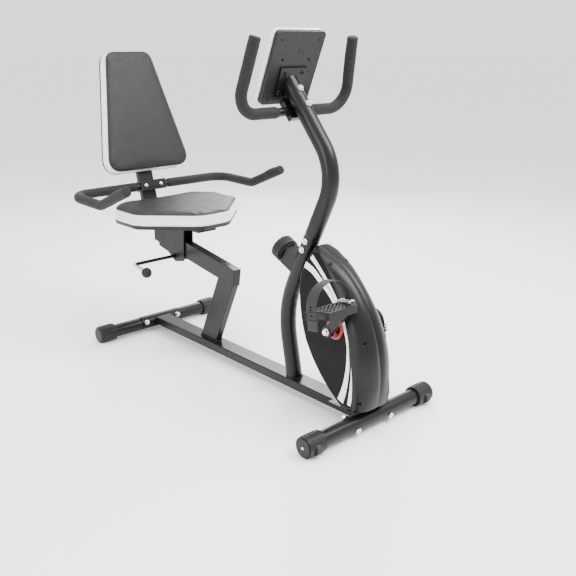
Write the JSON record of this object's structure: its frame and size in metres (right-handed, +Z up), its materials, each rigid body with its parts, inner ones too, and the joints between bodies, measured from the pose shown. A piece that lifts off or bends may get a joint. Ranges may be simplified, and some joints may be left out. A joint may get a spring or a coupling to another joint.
{
  "type": "recumbent exercise bike",
  "caption": "Recumbent exercise bike with a sliding padded seat and backrest, side and front handlebars, strapped pedals, an enclosed magnetic drive and a console on a curved mast.",
  "frame": {"origin": "centre of the machine's length and width, on the floor", "axes": "+X towards the pedals and the front stabiliser, +Y to the rider's left, +Z up"},
  "size_m": [1.3081, 0.673, 1.1047],
  "materials": {
    "frame_paint": "satin black powder coat",
    "casing_plastic": "semi-gloss black",
    "end_cap_plastic": "matte black, lightly grained",
    "knob_plastic": "matte dark grey, knurled",
    "tyre_rubber": "matte black",
    "grip_foam": "matte charcoal foam",
    "seat_vinyl": "dark grey embossed vinyl with white sides and black piping",
    "bright_steel": "bright plated",
    "bare_steel": "brushed",
    "bearing_steel": "ground",
    "seal_red": "red, smooth",
    "pedal_plastic": "matte black",
    "strap_rubber": "matte black, ribbed",
    "belt_rubber": "matte black",
    "cast_wheel": "machined rim",
    "magnet_metal": "nickel plated",
    "glide_plastic": "white, smooth",
    "console_grey": "matte dark grey, fine grain",
    "console_bezel": "pale silver grey, satin",
    "screen_glass": "grey-green display window",
    "button_plastic": "red buttons",
    "cable_black": "black sheath"
  },
  "bodies": {
    "frame": {"base_rail": "frame_paint", "rail_saddles": "frame_paint", "front_stabilizer": "frame_paint", "rear_stabilizer": "frame_paint", "front_caps": "end_cap_plastic", "rear_caps": "end_cap_plastic", "wheel_pins": "bare_steel", "stabilizer_bolts": "bright_steel", "front_post": "frame_paint", "mast": "frame_paint", "mast_bolts": "bright_steel", "knob_housing": "frame_paint", "control_cables": "cable_black", "casing_left": "casing_plastic", "casing_right": "casing_plastic", "casing_screws": "bare_steel", "drive_frame": "frame_paint", "crank_bearings": "bearing_steel", "crank_seals": "seal_red", "drive_belt": "belt_rubber", "flywheel_axle": "bare_steel", "bracket_pivot": "bare_steel", "seat_post": "frame_paint", "seat_rail": "frame_paint", "rail_plug": "end_cap_plastic", "front_handlebar": "frame_paint", "front_grips": "grip_foam", "handlebar_clamp": "frame_paint", "console_back": "console_grey", "console_front": "console_bezel", "console_screen": "screen_glass"},
    "crank": {"crank_axle": "bare_steel", "crank_pulley": "pedal_plastic", "crank_arm_left": "frame_paint", "crank_arm_right": "frame_paint", "crank_nuts": "bright_steel", "pedal_spindles": "bare_steel"},
    "pedal_left": {"pedal_left": "pedal_plastic", "pedal_strap_left": "strap_rubber"},
    "pedal_right": {"pedal_right": "pedal_plastic", "pedal_strap_right": "strap_rubber"},
    "flywheel": {"flywheel": "cast_wheel"},
    "knob": {"tension_knob": "knob_plastic"},
    "magnet_arm": {"magnet_bracket": "bare_steel", "brake_magnets": "magnet_metal"},
    "seat": {"seat_carriage": "frame_paint", "carriage_glides": "glide_plastic", "seat_cushion": "seat_vinyl", "back_post": "frame_paint", "back_cushion": "seat_vinyl", "side_handlebar": "frame_paint", "side_grips": "grip_foam", "bar_bracket": "frame_paint"},
    "lever": {"seat_lever": "frame_paint", "lever_ball": "end_cap_plastic"},
    "wheel_left": {"transport_wheel_left": "tyre_rubber"},
    "wheel_right": {"transport_wheel_right": "tyre_rubber"},
    "button_mode": {"button_mode": "button_plastic"},
    "button_set": {"button_set": "button_plastic"},
    "button_reset": {"button_reset": "button_plastic"}
  },
  "joints": [
    {"name": "crank_spin", "type": "hinge", "parent": "frame", "child": "crank", "pos_m": [0.52764, 0, 0.297], "axis": [0, 1, 0], "continuous": true},
    {"name": "pedal_left_spin", "type": "hinge", "parent": "crank", "child": "pedal_left", "pos_m": [0.43819, 0.157, 0.19589], "axis": [0, 1, 0], "continuous": true},
    {"name": "pedal_right_spin", "type": "hinge", "parent": "crank", "child": "pedal_right", "pos_m": [0.61709, -0.157, 0.39811], "axis": [0, 1, 0], "continuous": true},
    {"name": "flywheel_spin", "type": "hinge", "parent": "frame", "child": "flywheel", "pos_m": [0.56264, 0, 0.163], "axis": [0, 1, 0], "continuous": true},
    {"name": "tension_knob_turn", "type": "hinge", "parent": "frame", "child": "knob", "pos_m": [0.24494, 0, 0.4645], "axis": [0.9003, 0, -0.4352], "range_deg": [0, 315]},
    {"name": "magnet_arm_swing", "type": "hinge", "parent": "frame", "child": "magnet_arm", "pos_m": [0.62981, 0, 0.11597], "axis": [0, 1, 0], "range_deg": [0, 6]},
    {"name": "seat_slide", "type": "slide", "parent": "frame", "child": "seat", "axis": [0.9876, 0, -0.1573], "range_m": [-0.02, 0.2]},
    {"name": "seat_lever_lift", "type": "hinge", "parent": "seat", "child": "lever", "pos_m": [-0.33436, 0, 0.324], "axis": [0, 1, 0], "range_deg": [-35, 0], "stiffness_Nm_per_rad": 1, "springref_deg": 17.19},
    {"name": "transport_wheel_left_spin", "type": "hinge", "parent": "frame", "child": "wheel_left", "pos_m": [0.63164, 0.234, 0.025], "axis": [0, 1, 0], "continuous": true},
    {"name": "transport_wheel_right_spin", "type": "hinge", "parent": "frame", "child": "wheel_right", "pos_m": [0.63164, -0.234, 0.025], "axis": [0, 1, 0], "continuous": true},
    {"name": "button_mode_press", "type": "slide", "parent": "frame", "child": "button_mode", "axis": [0.9205, 0, -0.3907], "range_m": [0, 0.0015], "stiffness_N_per_m": 600},
    {"name": "button_set_press", "type": "slide", "parent": "frame", "child": "button_set", "axis": [0.9205, 0, -0.3907], "range_m": [0, 0.0015], "stiffness_N_per_m": 600},
    {"name": "button_reset_press", "type": "slide", "parent": "frame", "child": "button_reset", "axis": [0.9205, 0, -0.3907], "range_m": [0, 0.0015], "stiffness_N_per_m": 600}
  ],
  "couplings": [
    {"joint": "flywheel_spin", "follows": "crank_spin", "ratio": 5.1429},
    {"joint": "magnet_arm_swing", "follows": "tension_knob_turn", "ratio": 0.019048}
  ]
}
